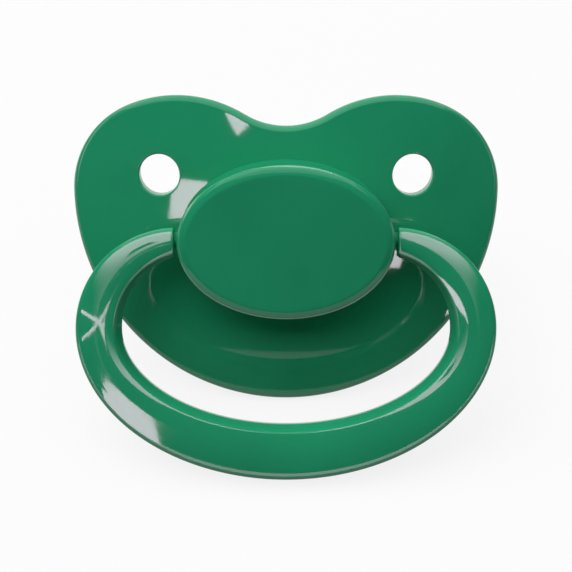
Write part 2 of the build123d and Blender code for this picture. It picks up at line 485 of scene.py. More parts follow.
@dataclass(frozen=True)
class MouldedGreen:
    """Polished green plastic, with the faint flow marks and handling marks of a moulded piece."""

    tint: Colour = (0.0215, 0.385, 0.182)
    flow_depth: float = 0.06
    flow_scale: float = 38.0
    flow_span: tuple[float, float] = (0.3, 0.7)
    roughness: float = 0.045
    scuff: float = 0.05
    scuff_scale: float = 420.0
    scuff_span: tuple[float, float] = (0.52, 0.8)
    ripple_scale: float = 160.0
    ripple_strength: float = 0.012
    ripple_depth: float = 0.0004
    refraction: float = 1.46
    soft_share: float = 0.08
    soft_spread: Colour = (0.3, 1.0, 0.7)
    soft_depth: float = 0.0006
    shift: float = 0.1

    def made(self, shot: Shot) -> bpy.types.Material:
        """Makes the material for one piece.

        Args:
            shot: The moulding shot, which shifts the marks so that no two pieces match.

        Returns:
            The new material.
        """
        nodes = Nodes(bpy.data.materials.new(f"{shot.value}_green"))
        shift = self.shift * (1 + list(Shot).index(shot))
        place = nodes.add("ShaderNodeTexCoord")
        move = nodes.add("ShaderNodeMapping", Location=(shift, -shift, shift / 2))
        nodes.link(place.outputs["Object"], move.inputs["Vector"])
        spot = move.outputs["Vector"]

        flow = nodes.noise(spot, Scale=self.flow_scale, Detail=3.0, Roughness=0.5, Distortion=0.8)
        deep, pale = (
            tuple(c * (1 + sign * self.flow_depth) for c in self.tint) for sign in (-1, 1)
        )
        marks = nodes.noise(spot, Scale=self.scuff_scale, Detail=6.0, Roughness=0.65)
        gloss = nodes.spread(
            marks,
            From_Min=self.scuff_span[0],
            From_Max=self.scuff_span[1],
            To_Min=self.roughness,
            To_Max=self.roughness + self.scuff,
        )
        ripple = nodes.noise(spot, Scale=self.ripple_scale, Detail=1.0, Roughness=0.4)
        plastic = nodes.add(
            "ShaderNodeBsdfPrincipled",
            IOR=self.refraction,
            Subsurface_Weight=self.soft_share,
            Subsurface_Radius=self.soft_spread,
            Subsurface_Scale=self.soft_depth,
        )
        nodes.finish(
            plastic,
            Base_Color=nodes.blend(flow, self.flow_span, deep, pale),
            Roughness=gloss,
            Normal=nodes.bump(ripple, self.ripple_strength, self.ripple_depth),
        )
        return nodes.owner


@dataclass(frozen=True)
class ClearSilicone:
    """Soft clear silicone, a little milky, with fine dust and drag marks on its skin."""

    tint: Colour = (0.955, 0.945, 0.915)
    cloud: Colour = (0.985, 0.98, 0.965)
    cloud_scale: float = 90.0
    cloud_span: tuple[float, float] = (0.35, 0.68)
    roughness: float = 0.15
    polish: float = 0.06
    drag: float = 0.1
    dust_scale: float = 900.0
    dust_strength: float = 0.05
    dust_depth: float = 0.0003
    refraction: float = 1.41
    clear_share: float = 0.75
    soft_share: float = 0.2
    soft_depth: float = 0.002

    def made(self) -> bpy.types.Material:
        """Makes the silicone.

        Returns:
            The new material.
        """
        nodes = Nodes(bpy.data.materials.new("teat_silicone"))
        spot = nodes.add("ShaderNodeTexCoord").outputs["Object"]
        milk = nodes.noise(spot, Scale=self.cloud_scale, Detail=4.0, Roughness=0.55)
        dust = nodes.noise(spot, Scale=self.dust_scale, Detail=5.0, Roughness=0.7)
        haze = nodes.spread(dust, To_Min=self.roughness - self.polish, To_Max=self.roughness + self.drag)
        soft = nodes.add(
            "ShaderNodeBsdfPrincipled",
            IOR=self.refraction,
            Transmission_Weight=self.clear_share,
            Subsurface_Weight=self.soft_share,
            Subsurface_Scale=self.soft_depth,
        )
        nodes.finish(
            soft,
            Base_Color=nodes.blend(milk, self.cloud_span, self.tint, self.cloud),
            Roughness=haze,
            Normal=nodes.bump(dust, self.dust_strength, self.dust_depth),
        )
        return nodes.owner


def dress(piece: bpy.types.Object, material: bpy.types.Material) -> None:
    """Gives every part of a piece one material."""
    piece.data.materials.clear()
    piece.data.materials.append(material)


# ---------------------------------------------------------------- shield


@dataclass
class Shield:
    """The domed butterfly plate with its rounded rim, vent holes, collar and leg slots."""

    half_width: float = 34.0
    waist_height: float = 6.5
    chin_drop: float = 28.1
    shoulder_radius: float = 14.6
    crown_radius: float = 20.7
    crown_turn: float = 24.5
    notch_radius: float = 12.9
    thickness: float = 2.5
    dome_radius: float = 110.0
    edge_radius: float = 1.1
    crown_back: float = 2.4
    vent_radius: float = 3.2
    vent_reach: float = 19.9
    vent_height: float = 9.4
    vent_edge: float = 0.3
    recess_radius: float = 10.45
    recess_depth: float = 1.8
    neck_hole: float = 8.25
    collar_wall: float = 1.6
    collar_length: float = 1.8
    collar_edge: float = 0.3
    slot_inner: float = 11.4
    slot_outer: float = 13.35
    slot_half_width: float = 2.65
    slot_corner: float = 0.25
    slot_spans: int = 4
    slot_gap: float = 0.8
    outline_points: tuple[int, ...] = (110, 44, 60, 26)   # chin, shoulder, crown and notch
    hole_points: int = 96
    rim_steps: int = 10
    pitch: float = 1.1

    def centre(self) -> float:
        """Place of the dome's centre along the front axis."""
        return -self.crown_back - self.dome_radius

    def back_radius(self) -> float:
        """Radius of the dome's back."""
        return self.dome_radius - self.thickness

    def height(self, flat: np.ndarray, radius: float) -> np.ndarray:
        """How high a sphere about the dome's centre stands above flat places."""
        return self.centre() + np.sqrt(radius**2 - np.sum(flat**2, axis=-1))

    def outline(self) -> np.ndarray:
        """Draws the shield's outline, one half and then its mirror image.

        Returns:
            Its points, clockwise, ending at the middle of the chin.
        """
        turn = math.radians(self.crown_turn)
        shoulder_x = self.half_width - self.shoulder_radius
        step = self.crown_radius - self.shoulder_radius
        crown = (shoulder_x - step * math.sin(turn), self.waist_height - step * math.cos(turn))
        notch_y = crown[1] + math.sqrt((self.crown_radius + self.notch_radius) ** 2 - crown[0] ** 2)
        meet = math.atan2(notch_y - crown[1], -crown[0])
        sides = (self.half_width, self.chin_drop + self.waist_height)
        quarter = math.pi / 2
        runs = [
            ((0, self.waist_height), sides, -quarter, 0),
            ((shoulder_x, self.waist_height), (self.shoulder_radius,) * 2, 0, quarter - turn),
            (crown, (self.crown_radius,) * 2, quarter - turn, meet),
            ((0, notch_y), (self.notch_radius,) * 2, meet - math.pi, -quarter),
        ]
        right = []
        for ((cx, cy), (rx, ry), start, stop), count in zip(runs, self.outline_points):
            for angle in np.linspace(start, stop, count, endpoint=False):
                right.append((cx + rx * math.cos(angle), cy + ry * math.sin(angle)))
        right.append((0, notch_y - self.notch_radius))
        half = np.array(right)
        left = half[1:-1][::-1] * (-1, 1)
        return np.concatenate([half, left])[::-1]

    def rim(self, skin: Skin, outline: np.ndarray, out: np.ndarray, edge: float) -> tuple[Loop, Loop]:
        """Rounds an edge of the plate all the way through, from its front to its back.

        Args:
            skin: The mesh being made.
            outline: The flat wall line.
            out: Unit vectors out of the plastic along it.
            edge: The rounding's radius.

        Returns:
            The loop on the front face and the loop on the back face.
        """
        side = at_level(out, 0)
        inset = outline - out * edge
        halves = []
        for radius, sign in ((self.dome_radius - edge, 1), (self.back_radius() + edge, -1)):
            hub = at_level(inset, self.height(inset, radius))
            face = self.outward(hub) * sign
            turned = [between(face, side, k / self.rim_steps) for k in range(self.rim_steps + 1)]
            halves.append([skin.loop(hub + edge * facing, facing) for facing in turned])
        whole = halves[0] + halves[1][::-1]
        skin.stack(whole)
        return whole[0], whole[-1]

    def outward(self, points: np.ndarray) -> np.ndarray:
        """The way out from the dome's centre through each point."""
        return unit(points - np.array((0, 0, self.centre())))

    def wall(
        self, skin: Skin, flat: np.ndarray, out: np.ndarray, start: Level, end: Level
    ) -> tuple[Loop, Loop]:
        """Makes a straight wall between two levels.

        Args:
            skin: The mesh being made.
            flat: The wall's line.
            out: Unit vectors out of the plastic along it.
            start: Its first level.
            end: Its last level.

        Returns:
            The loops at its two ends.
        """
        first, last = (skin.loop(at_level(flat, level), at_level(out, 0)) for level in (start, end))
        skin.bridge(first, last)
        return first, last

    def circle(self, radius: float, at: tuple[float, float] = (0, 0)) -> np.ndarray:
        """A circle's points, anticlockwise."""
        angles = np.arange(self.hole_points) * FULL_TURN / self.hole_points
        return np.stack([at[0] + radius * np.cos(angles), at[1] + radius * np.sin(angles)], axis=1)

    def slot(self, side: int) -> np.ndarray:
        """Draws a leg slot.

        Args:
            side: -1 for the left one, 1 for the right one.

        Returns:
            Its outline, anticlockwise.
        """
        middle = side * (self.slot_inner + self.slot_outer) / 2
        half = (self.slot_outer - self.slot_inner) / 2
        corners = [
            (middle + x * half, y * self.slot_half_width, self.slot_corner)
            for x, y in ((1, -1), (1, 1), (-1, 1), (-1, -1))
        ]
        return rounded(corners, self.slot_spans, self.slot_gap)

    def build(self, place: Place) -> bpy.types.Object:
        """Makes the shield's mesh.

        Args:
            place: The plane that the sizes are given in.

        Returns:
            The shield.
        """
        skin = Skin()
        outline = self.outline()
        rims = [self.rim(skin, outline, flat_facings(outline), self.edge_radius)]
        for side in (-1, 1):
            middle = (side * self.vent_reach, self.vent_height)
            vent = self.circle(self.vent_radius, middle)
            rims.append(self.rim(skin, vent, -unit(vent - np.array(middle)), self.vent_edge))
        for side in (-1, 1):
            slot = self.slot(side)
            levels = (self.height(slot, self.dome_radius), self.height(slot, self.back_radius()))
            rims.append(self.wall(skin, slot, -flat_facings(slot[::-1])[::-1], *levels))
        rims.append((self.neck_recess(skin), self.collar(skin)))
        for loops, radius, sign in zip(zip(*rims), (self.dome_radius, self.back_radius()), (1, -1)):
            edges = [self.faced(skin, loop, sign) for loop in loops]
            skin.patch(edges, self.above(radius, sign), self.pitch, flip=sign < 0)
        return skin.piece("shield_plate", place, keep_facings=True)

    def above(self, radius: float, sign: int) -> Lift:
        """Gives the dome's surface over any flat place.

        Args:
            radius: The radius of the dome's front or back.
            sign: 1 for the front, -1 for the back.

        Returns:
            What finds the point and its facing.
        """

        def lift(x: float, y: float) -> tuple[np.ndarray, np.ndarray]:
            """The point and its facing."""
            point = np.array((x, y, self.height(np.array((x, y)), radius)))
            return point, self.outward(point) * sign

        return lift

    def faced(self, skin: Skin, rim: Loop, sign: int) -> Loop:
        """A copy of a rim that faces with the dome, so that a hard edge stays crisp."""
        points = np.array([skin.points[i] for i in rim])
        return skin.loop(points, self.outward(points) * sign)

    def neck_recess(self, skin: Skin) -> Loop:
        """Makes the flange's recess and the neck's hole, down to the collar's end.

        Args:
            skin: The mesh being made.

        Returns:
            The recess's edge on the front face.
        """
        depth = -self.crown_back - self.recess_depth
        wide, narrow = self.circle(self.recess_radius), self.circle(self.neck_hole)
        top, _ = self.wall(skin, wide, -unit(wide), self.height(wide, self.dome_radius), depth)
        up = np.tile((0.0, 0.0, 1.0), (len(wide), 1))
        skin.bridge(skin.loop(at_level(wide, depth), up), skin.loop(at_level(narrow, depth), up))
        self.wall(skin, narrow, -unit(narrow), depth, self.collar_end())
        return top

    def collar_end(self) -> float:
        """Place of the collar's end along the front axis."""
        reach = np.array((self.neck_hole + self.collar_wall, 0))
        return float(self.height(reach, self.back_radius())) - self.collar_length

    def collar(self, skin: Skin) -> Loop:
        """Makes the collar around the neck on the plate's back, with a rounded lip.

        Args:
            skin: The mesh being made.

        Returns:
            The collar's edge on the back face.
        """
        outer_radius, end = self.neck_hole + self.collar_wall, self.collar_end()
        down = np.tile((0.0, 0.0, -1.0), (self.hole_points, 1))
        loops = [skin.loop(at_level(self.circle(self.neck_hole), end), down)]
        hub = self.circle(outer_radius - self.collar_edge)
        side = at_level(unit(hub), 0)
        for k in range(self.rim_steps + 1):
            facing = between(down, side, k / self.rim_steps)
            centre = at_level(hub, end + self.collar_edge)
            loops.append(skin.loop(centre + self.collar_edge * facing, facing))
        outer = self.circle(outer_radius)
        loops.append(skin.loop(at_level(outer, self.height(outer, self.back_radius())), side))
        skin.stack(loops)
        return loops[-1]


# ---------------------------------------------------------------- ring handle


@dataclass
class RingHandle:
    """The swinging handle: a flat ring with a crowned front, a bevelled grip and a pin at each end."""

    half_width: float = 32.7
    reach: float = 37.6
    shoulder: float = 15.8
    side_width: float = 6.9
    bottom_width: float = 8.5
    grip_shoulder: float = 11.6
    thickness: float = 3.8
    end_rise: float = 1.9
    end_x: float = 17.35
    edge_radius: float = 0.7
    crown_sag: float = 0.35
    bevel_width: float = 1.0
    bevel_depth: float = 2.4
    bevel_at_end: float = 0.5
    grip_edge: float = 0.3
    end_edge: float = 0.3
    pin_radius: float = 1.2
    pin_end_x: float = 14.95
    pin_chamfer: float = 0.2
    pin_points: int = 48
    arm_points: int = 90
    bow_points: int = 150
    corner_spans: int = 7
    long_run: float = 0.8
    run_points: int = 14
    end_steps: int = 5

    def line(self, half_width: float, reach: float, shoulder: float) -> np.ndarray:
        """Draws one outline of the ring, both sides of it.

        Args:
            half_width: Half of the outline's width.
            reach: How far it reaches below the pivot.
            shoulder: The radius of its shoulders.

        Returns:
            Its points, from the left end round the bottom to the right end.
        """
        waist = self.end_rise - self.shoulder
        corner = half_width - shoulder
        start = math.pi - math.acos((self.end_x - corner) / shoulder)
        arc = np.linspace(start, math.pi, self.arm_points, endpoint=False)
        bow = np.linspace(math.pi, 1.5 * math.pi, self.bow_points)
        first = np.stack([-corner + shoulder * np.cos(arc), waist + shoulder * np.sin(arc)], axis=1)
        rest = np.stack([half_width * np.cos(bow), waist + (reach + waist) * np.sin(bow)], axis=1)
        left = np.concatenate([first, rest])
        return np.concatenate([left, left[-2::-1] * (-1, 1)])

    def section(self, width: float, bevel: float) -> np.ndarray:
        """Draws the ring's section before its front is crowned.

        Args:
            width: Its width, from the outer edge (x = 0) to the grip.
            bevel: The width of the bevel at the grip.

        Returns:
            Its points, with no extra ones on the straight runs.
        """
        half = self.thickness / 2
        return rounded(
            [
                (0, half, self.edge_radius),
                (0, -half, self.edge_radius),
                (width, -half, self.grip_edge),
                (width, half - self.bevel_depth, self.grip_edge),
                (width - bevel, half, self.grip_edge),
            ],
            self.corner_spans,
            fill=math.inf,
        )

    def crowned(self, points: np.ndarray, width: float, bevel: float) -> np.ndarray:
        """Lowers the front face towards its two edges.

        Args:
            points: The section's points.
            width: The section's width.
            bevel: The bevel's width.

        Returns:
            The points with the front crowned.
        """
        strip = (width - bevel) / 2
        lean = np.clip((points[:, 0] - strip) / strip, -1, 1)
        front = np.clip((points[:, 1] - self.thickness / 4) / (self.thickness / 4), 0, 1)
        return np.stack([points[:, 0], points[:, 1] - self.crown_sag * front * lean**2], axis=1)

    def fine(self, points: np.ndarray) -> np.ndarray:
        """Adds the same number of points to each long run of a section.

        Args:
            points: The section's points.

        Returns:
            The points with the new ones among them.
        """
        out = []
        for a, b in zip(points, np.roll(points, -1, axis=0)):
            runs = self.run_points if np.linalg.norm(b - a) > self.long_run else 1
            out += [a + (b - a) * k / runs for k in range(runs)]
        return np.array(out)

    def build(self, place: Place) -> bpy.types.Object:
        """Makes the ring's mesh with its two pins.

        Args:
            place: The ring's middle plane.

        Returns:
            The ring.
        """
        skin = Skin()
        outer = self.line(self.half_width, self.reach, self.shoulder)
        inner = self.line(
            self.half_width - self.side_width, self.reach - self.bottom_width, self.grip_shoulder
        )
        loops = []
        for i, (edge, grip) in enumerate(zip(outer, inner)):
            width = float(np.linalg.norm(grip - edge))
            near = min(i, len(outer) - 1 - i) / self.arm_points
            bevel = self.bevel_at_end + (self.bevel_width - self.bevel_at_end) * min(1.0, near)
            flat = self.crowned(self.fine(self.section(width, bevel)), width, bevel)
            loops.append(np.column_stack([edge + flat[:, :1] * (grip - edge) / width, flat[:, 1]]))
        loops = self.round_end(loops, 1)
        loops = self.round_end(loops[::-1], -1)[::-1]
        rows = [skin.loop(points) for points in loops]
        skin.stack(rows)
        skin.close(rows[0], rows[-1])
        for side in (-1, 1):
            self.pin(skin, side)
        return skin.piece("ring_handle", place)

    def round_end(self, loops: list[np.ndarray], side: int) -> list[np.ndarray]:
        """Rounds the edge of the ring's end face by drawing its last sections in.

        Args:
            loops: The sections, from the end to be rounded.
            side: 1 for the left end, -1 for the right one.

        Returns:
            The sections with the rounded end in place of the first few.
        """
        face = loops[0]
        middle = face.mean(axis=0)
        inward = unit(middle - face)
        made = []
        for k in range(self.end_steps):
            angle = math.pi / 2 * k / self.end_steps
            drawn = face + inward * self.end_edge * (1 - math.sin(angle))
            drawn[:, 0] += side * self.end_edge * math.cos(angle) - side * self.end_edge
            made.append(drawn)
        body = loops[0].copy()
        body[:, 0] -= side * self.end_edge
        clear = self.end_x + self.end_edge
        first = next(i for i, points in enumerate(loops) if abs(points[:, 0]).min() > clear)
        return made + [body] + loops[first:]

    def pin(self, skin: Skin, side: int) -> None:
        """Makes a round pin from the ring's end into the knob's socket.

        Args:
            skin: The mesh being made.
            side: -1 for the left one, 1 for the right one.
        """
        angles = np.arange(self.pin_points) * FULL_TURN / self.pin_points
        loops = []
        for x, radius in (
            (self.pin_end_x, self.pin_radius - self.pin_chamfer),
            (self.pin_end_x + self.pin_chamfer, self.pin_radius),
            (self.end_x + self.edge_radius, self.pin_radius),
        ):
            along = np.full(self.pin_points, side * x)
            round_it = radius * np.cos(angles), radius * np.sin(angles)
            loops.append(skin.loop(np.column_stack([along, *round_it])))
        skin.stack(loops)
        skin.close(loops[-1], loops[0])


# ---------------------------------------------------------------- cap


@dataclass
class Cap:
    """The oval cover: flat face, soft bevel that rolls over the rim, and a lip that seats in the knob."""

    half_width: float = 16.8
    half_height: float = 12.1
    seam: float = 2.4
    thickness: float = 1.3
    bevel_width: float = 1.35
    bevel_fall: float = 0.32
    bevel_edge: float = 1.6
    shoulder_width: float = 0.42
    shoulder_edge: float = 0.6
    rim_fall: float = 0.85
    rim_edge: float = 0.28
    middle_edge: float = 0.25
    seam_edge: float = 0.03
    lip_foot: float = 0.05
    lip_edge: float = 0.15
    lip_depth: float = 0.7
    lip_inset: float = 2.25
    lip_wall: float = 1.0
    count: int = 360
    corner_spans: int = 5
    gap: float = 0.6

    def ring_of(self, inset: float, level: float) -> np.ndarray:
        """Draws the oval in by an inset.

        Args:
            inset: How far in from the rim.
            level: Its place along the front axis.

        Returns:
            Its points.
        """
        angles = np.arange(self.count) * FULL_TURN / self.count
        oval = np.stack([self.half_width * np.cos(angles), self.half_height * np.sin(angles)], axis=1)
        out = unit(np.stack([self.half_height * np.cos(angles), self.half_width * np.sin(angles)], axis=1))
        return at_level(oval - out * inset, level)

    def build(self, place: Place) -> bpy.types.Object:
        """Makes the cap's mesh, from the face round the rim to the lip and the inside.

        Args:
            place: The shield's plane.

        Returns:
            The cap.
        """
        skin = Skin()
        top = self.seam + self.thickness
        lip = self.seam - self.lip_depth
        middle = self.half_height / 2
        profile = rounded(
            [
                (middle, top, self.middle_edge),
                (self.bevel_width, top, self.bevel_edge),
                (self.shoulder_width, top - self.bevel_fall, self.shoulder_edge),
                (0, top - self.rim_fall, self.rim_edge),
                (0, self.seam, self.seam_edge),
                (self.lip_inset, self.seam, self.lip_foot),
                (self.lip_inset, lip, self.lip_edge),
                (self.lip_inset + self.lip_wall, lip, self.lip_edge),
                (self.lip_inset + self.lip_wall, self.seam, self.lip_foot),
                (middle, self.seam, self.middle_edge),
            ],
            self.corner_spans,
            self.gap,
        )
        loops = [
            skin.loop(self.ring_of(inset, level))
            for inset, level in profile
            if inset < middle - self.middle_edge
        ]
        skin.stack(loops)
        skin.close(loops[0], loops[-1])
        return skin.piece("cap_cover", place)


# ---------------------------------------------------------------- teat


@dataclass
class Teat:
    """The hollow silicone teat: flange, straight neck and a flattened bulb that tips up at its end."""

    flange_radius: float = 10.4
    flange_face: float = -3.0
    flange_back: float = -4.2
    neck_radius: float = 8.2
    neck_end: float = -10.7
    wall: float = 1.5
    bulb_half_width: float = 13.6
    bulb_half_height: float = 8.8
    bulb_half_length: float = 13.5
    bulb_middle: float = -28.2
    bulb_rise: float = 1.0
    bulb_start: float = -42.0
    flange_edge: float = 0.25
    neck_fillet: float = 0.2
    mouth_edge: float = 0.15
    neck_straight: float = 3.0
    mould_line_rise: float = 0.005
    mould_line_width: float = 0.05
    least_half: float = 0.05
    count: int = 160
    neck_points: int = 16
    bulb_points: int = 44

    def stations(self, inset: float) -> list[tuple[float, float, float, float]]:
        """Finds the teat's sections, from the neck to the tip.

        Args:
            inset: How far in from the outer skin.

        Returns:
            The level, half width, half height and rise of each section.
        """
        start = math.radians(self.bulb_start)
        rows = []
        first = self.bulb_middle - self.bulb_half_length * math.sin(start)
        widths = (self.neck_radius, self.bulb_half_width * math.cos(start))
        heights = (self.neck_radius, self.bulb_half_height * math.cos(start))
        growth = self.bulb_half_width * math.sin(-start) / (self.bulb_half_length * math.cos(start))
        swell = self.bulb_half_height * math.sin(-start) / (self.bulb_half_length * math.cos(start))
        span = self.neck_end - first
        for share in np.linspace(0, 1, self.neck_points, endpoint=False):
            blend = [
                ends[0] * (1 + 2 * share) * (1 - share) ** 2
                + ends[1] * share**2 * (3 - 2 * share)
                - slope * span * share**2 * (1 - share)
                for ends, slope in ((widths, growth), (heights, swell))
            ]
            ease = share * share * (3 - 2 * share)
            rows.append((self.neck_end - span * share, blend[0], blend[1], self.bulb_rise * ease))
        for turn in np.linspace(start, math.pi / 2, self.bulb_points, endpoint=False):
            level = self.bulb_middle - (self.bulb_half_length - inset) * math.sin(turn)
            halves = (self.bulb_half_width * math.cos(turn), self.bulb_half_height * math.cos(turn))
            rows.append((level, *halves, self.bulb_rise))
        least = self.least_half
        return [(z, max(w - inset, least), max(h - inset, least), rise) for z, w, h, rise in rows]

    def section(self, level: float, half_width: float, half_height: float, rise: float) -> np.ndarray:
        """Draws one oval section, with the faint mould line along each side.

        Args:
            level: Its place along the front axis.
            half_width: Half of its width.
            half_height: Half of its height.
            rise: How far up its middle is.

        Returns:
            Its points.
        """
        angles = np.arange(self.count) * FULL_TURN / self.count
        line = 1 + self.mould_line_rise * np.exp(-((np.sin(angles) / self.mould_line_width) ** 2))
        across, up = half_width * np.cos(angles) * line, rise + half_height * np.sin(angles)
        return np.column_stack([across, up, np.full(self.count, level)])

    def build(self, place: Place) -> bpy.types.Object:
        """Makes the teat's outer skin and its hollow, joined at the flange.

        Args:
            place: The shield's plane.

        Returns:
            The teat.
        """
        skin = Skin()
        face, back, edge = self.flange_face, self.flange_back, self.flange_edge
        mouth = self.neck_radius - self.wall
        flange = [
            (face, mouth + self.mouth_edge),
            (face, self.flange_radius - edge),
            (face - edge, self.flange_radius),
            (back + edge, self.flange_radius),
            (back, self.flange_radius - edge),
            (back, self.neck_radius + self.neck_fillet),
            (back - self.neck_fillet, self.neck_radius),
            (self.neck_end + self.neck_straight, self.neck_radius),
        ]
        outside = [(z, r, r, 0) for z, r in flange] + self.stations(0)
        hollow = [(face, mouth, mouth, 0)] + self.stations(self.wall)
        outer, inner = ([skin.loop(self.section(*row)) for row in rows] for rows in (outside, hollow))
        skin.stack(outer)
        skin.stack(inner[::-1])
        skin.close(outer[-1], inner[-1])
        skin.bridge(inner[0], outer[0])
        return skin.piece("teat_bulb", place)


# ---------------------------------------------------------------- studio


WARM = (1.0, 0.76, 0.93)  # set off by the green, this gleams grey
PALE = (1.0, 0.88, 0.96)
NEAR = 1.2  # how far off the lights and small cards hang, in metres
FAR = 2.5  # behind the small cards, so that the large ones don't hide them
CROSS_AT = (-0.0291, -0.0105, -0.0073)  # the cross's middle on the ring's left side, from the pivot
CROSS_OFF = 0.05  # close to the ring, so that only its left side mirrors the cross
CROSS_WIDTHS = (1.5, 0.45)


def toward(azimuth: float, elevation: float) -> Vector:
    """The direction of a place in the sky. Azimuth 0 is the front, and elevation is above the floor."""
    a, e = math.radians(azimuth), math.radians(elevation)
    return Vector((math.sin(a) * math.cos(e), -math.cos(a) * math.cos(e), math.sin(e)))


@dataclass(frozen=True)
class LightPanel:
    """A flat light a set distance from the pivot, given by where it stands in the sky."""

    name: str
    azimuth: float
    elevation: float
    width: float
    height: float
    brightness: float
    reach: Reach = Reach.BOTH
    distance: float = NEAR

    def hang(self, target: Vector) -> bpy.types.Object:
        """Hangs the panel facing the target.

        Args:
            target: What it faces, in metres.

        Returns:
            The light.
        """
        way = toward(self.azimuth, self.elevation)
        data = bpy.data.lights.new(self.name, "AREA")
        data.shape = "RECTANGLE"
        data.size, data.size_y = self.width, self.height
        data.energy = self.brightness * math.pi * self.width * self.height
        light = shown(self.name, data)
        light.location = target + way * self.distance
        light.rotation_euler = way.to_track_quat("Z", "Y").to_euler()
        light.visible_glossy = self.reach is not Reach.SHADE
        light.visible_diffuse = self.reach is not Reach.GLOSS
        return light


@dataclass(frozen=True)
class GleamCard:
    """A small bright card whose reflection shows on one shot, by its corners' places in the sky."""

    name: str
    corners: SkyLine
    seen_in: Shot
    brightness: float = 14.0
    tint: Colour = WARM
    distance: float = NEAR
    middle: tuple[float, float, float] = (0, 0, 0)
    fade_along: tuple[float, float, float] = (0, 0, 1)
    fade_span: tuple[float, float] | None = None

    def hang(self, target: Vector, pieces: dict[Shot, bpy.types.Object]) -> bpy.types.Object:
        """Hangs the card.

        Args:
            target: The pivot, in metres. The card's sky is a sphere about a middle near it.
            pieces: The piece made in each shot.

        Returns:
            The card, which isn't part of the object.
        """
        mesh = bpy.data.meshes.new(self.name)
        middle = target + Vector(self.middle)
        points = [middle + toward(*corner) * self.distance for corner in self.corners]
        mesh.from_pydata(points, [], [tuple(range(len(points)))])
        card = shown(self.name, mesh)
        card.visible_camera = card.visible_shadow = card.visible_transmission = False
        card.visible_diffuse = False
        dress(card, self.glow(middle))
        lit = bpy.data.collections.new(f"{self.name}_on")
        lit.objects.link(pieces[self.seen_in])
        card.light_linking.receiver_collection = lit
        return card

    def glow(self, middle: Vector) -> bpy.types.Material:
        """Makes the card's light, which can fade out in one direction.

        Args:
            middle: The middle of the card's sky. The fade starts and ends at shares of the
                distance from it.

        Returns:
            The new material.
        """
        nodes = Nodes(bpy.data.materials.new(self.name))
        light = nodes.add("ShaderNodeEmission", Strength=self.brightness, Color=(*self.tint, 1))
        if not self.fade_span:
            nodes.finish(light)
            return nodes.owner
        place = nodes.add("ShaderNodeNewGeometry")
        along = nodes.add("ShaderNodeVectorMath", operation="DOT_PRODUCT")
        along.inputs[1].default_value = self.fade_along
        nodes.link(place.outputs["Position"], along.inputs[0])
        dark, full = (middle.dot(Vector(self.fade_along)) + f * self.distance for f in self.fade_span)
        fade = nodes.spread(
            along.outputs["Value"],
            interpolation_type="SMOOTHSTEP",
            From_Min=dark,
            From_Max=full,
            To_Max=self.brightness,
        )
        nodes.finish(light, Strength=fade)
        return nodes.owner


def strip(line: SkyLine, start: float, end: float) -> SkyLine:
    """Draws a thin strip along a line in the sky.

    Args:
        line: The middle of the strip.
        start: Its width in degrees where the line starts.
        end: Its width in degrees where the line ends.

    Returns:
        Its corners.
    """
    halves = np.linspace(start, end, len(line)) / 2
    upper = tuple((azimuth, elevation + half) for (azimuth, elevation), half in zip(line, halves))
    lower = tuple((azimuth, elevation - half) for (azimuth, elevation), half in zip(line, halves))
    return upper + lower[::-1]


def arm_sweep(name: str, side: int, inner: float, brightness: float) -> GleamCard:
    """Makes the card for the broad soft gleam on one arm of the ring.

    Args:
        name: The card's name.
        side: -1 for the left arm, 1 for the right one.
        inner: How far round from the front its inner edge is, in degrees.
        brightness: How bright it is where it is full.

    Returns:
        The card, which fades out downwards and outwards.
    """
    half = ((75, 36), (40, 38), (inner, 38), (inner, 80), (75, 80))
    corners = tuple((side * azimuth, elevation) for azimuth, elevation in half)
    fade = {"fade_along": (-0.35 * side, 0.2, 0.92), "fade_span": (0.355, 0.51)}
    return GleamCard(name, corners, Shot.RING, brightness, distance=FAR, **fade)


def cross_seam(name: str, line: SkyLine) -> GleamCard:
    """One line of the cross that gleams on the ring's left side."""
    return GleamCard(name, strip(line, *CROSS_WIDTHS), Shot.RING, distance=CROSS_OFF, middle=CROSS_AT)


def rim_line(
    name: str, shot: Shot, brightness: float, widths: tuple[float, float], line: SkyLine
) -> GleamCard:
    """A far strip that draws a soft line of light along a rounded edge."""
    return GleamCard(name, strip(line, *widths), shot, brightness, distance=FAR)


def level_line(azimuths: range, elevation: float) -> SkyLine:
    """A level line in the sky."""
    return tuple((azimuth, elevation) for azimuth in azimuths)


